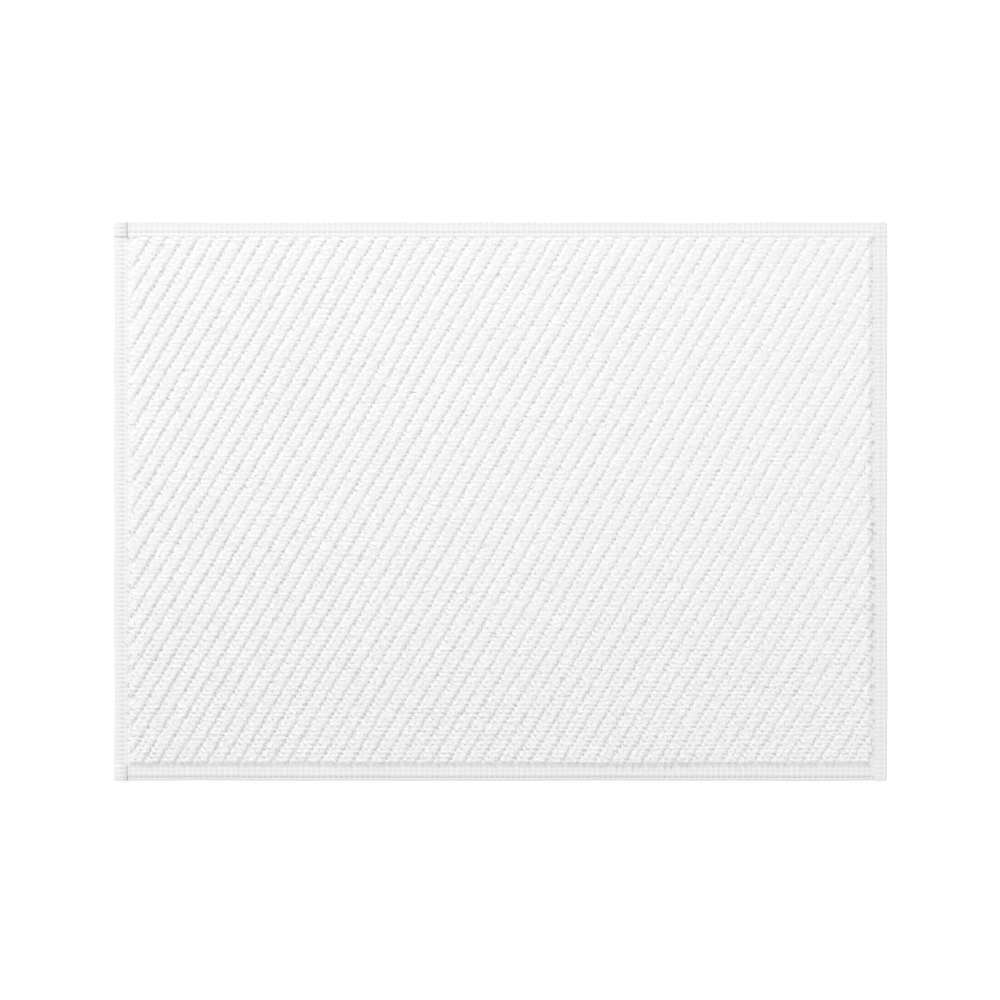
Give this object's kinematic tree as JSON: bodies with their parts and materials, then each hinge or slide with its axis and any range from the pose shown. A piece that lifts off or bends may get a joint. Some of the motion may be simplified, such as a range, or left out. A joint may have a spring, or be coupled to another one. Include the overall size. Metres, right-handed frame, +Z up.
{
  "type": "bath mat",
  "caption": "Rectangular woven terry bath mat with a field of diagonal loop-pile ribs inside a flat folded and lock-stitched hem on all sides.",
  "frame": {"origin": "the middle of the mat's underside, on the floor that it lies on", "axes": "+Z up out of the pile, +X along the long side towards the right hem, +Y along the short side towards the top hem"},
  "size_m": [0.7, 0.506, 0.0081],
  "materials": {
    "loop_pile": "matte looped cotton",
    "ground_weave": "matte woven cotton",
    "border_weave": "matte ribbed woven cotton",
    "sewing_thread": "slightly glossy twisted thread",
    "label_tape": "satin woven tape, blank"
  },
  "bodies": {
    "root": {"ground_cloth": "ground_weave", "loop_pile": "loop_pile", "left_hem": "border_weave", "right_hem": "border_weave", "top_hem": "border_weave", "bottom_hem": "border_weave", "left_hem_needle_thread": "sewing_thread", "left_hem_bobbin_thread": "sewing_thread", "right_hem_needle_thread": "sewing_thread", "right_hem_bobbin_thread": "sewing_thread", "top_hem_needle_thread": "sewing_thread", "top_hem_bobbin_thread": "sewing_thread", "bottom_hem_needle_thread": "sewing_thread", "bottom_hem_bobbin_thread": "sewing_thread", "care_label": "label_tape"}
  },
  "joints": []
}
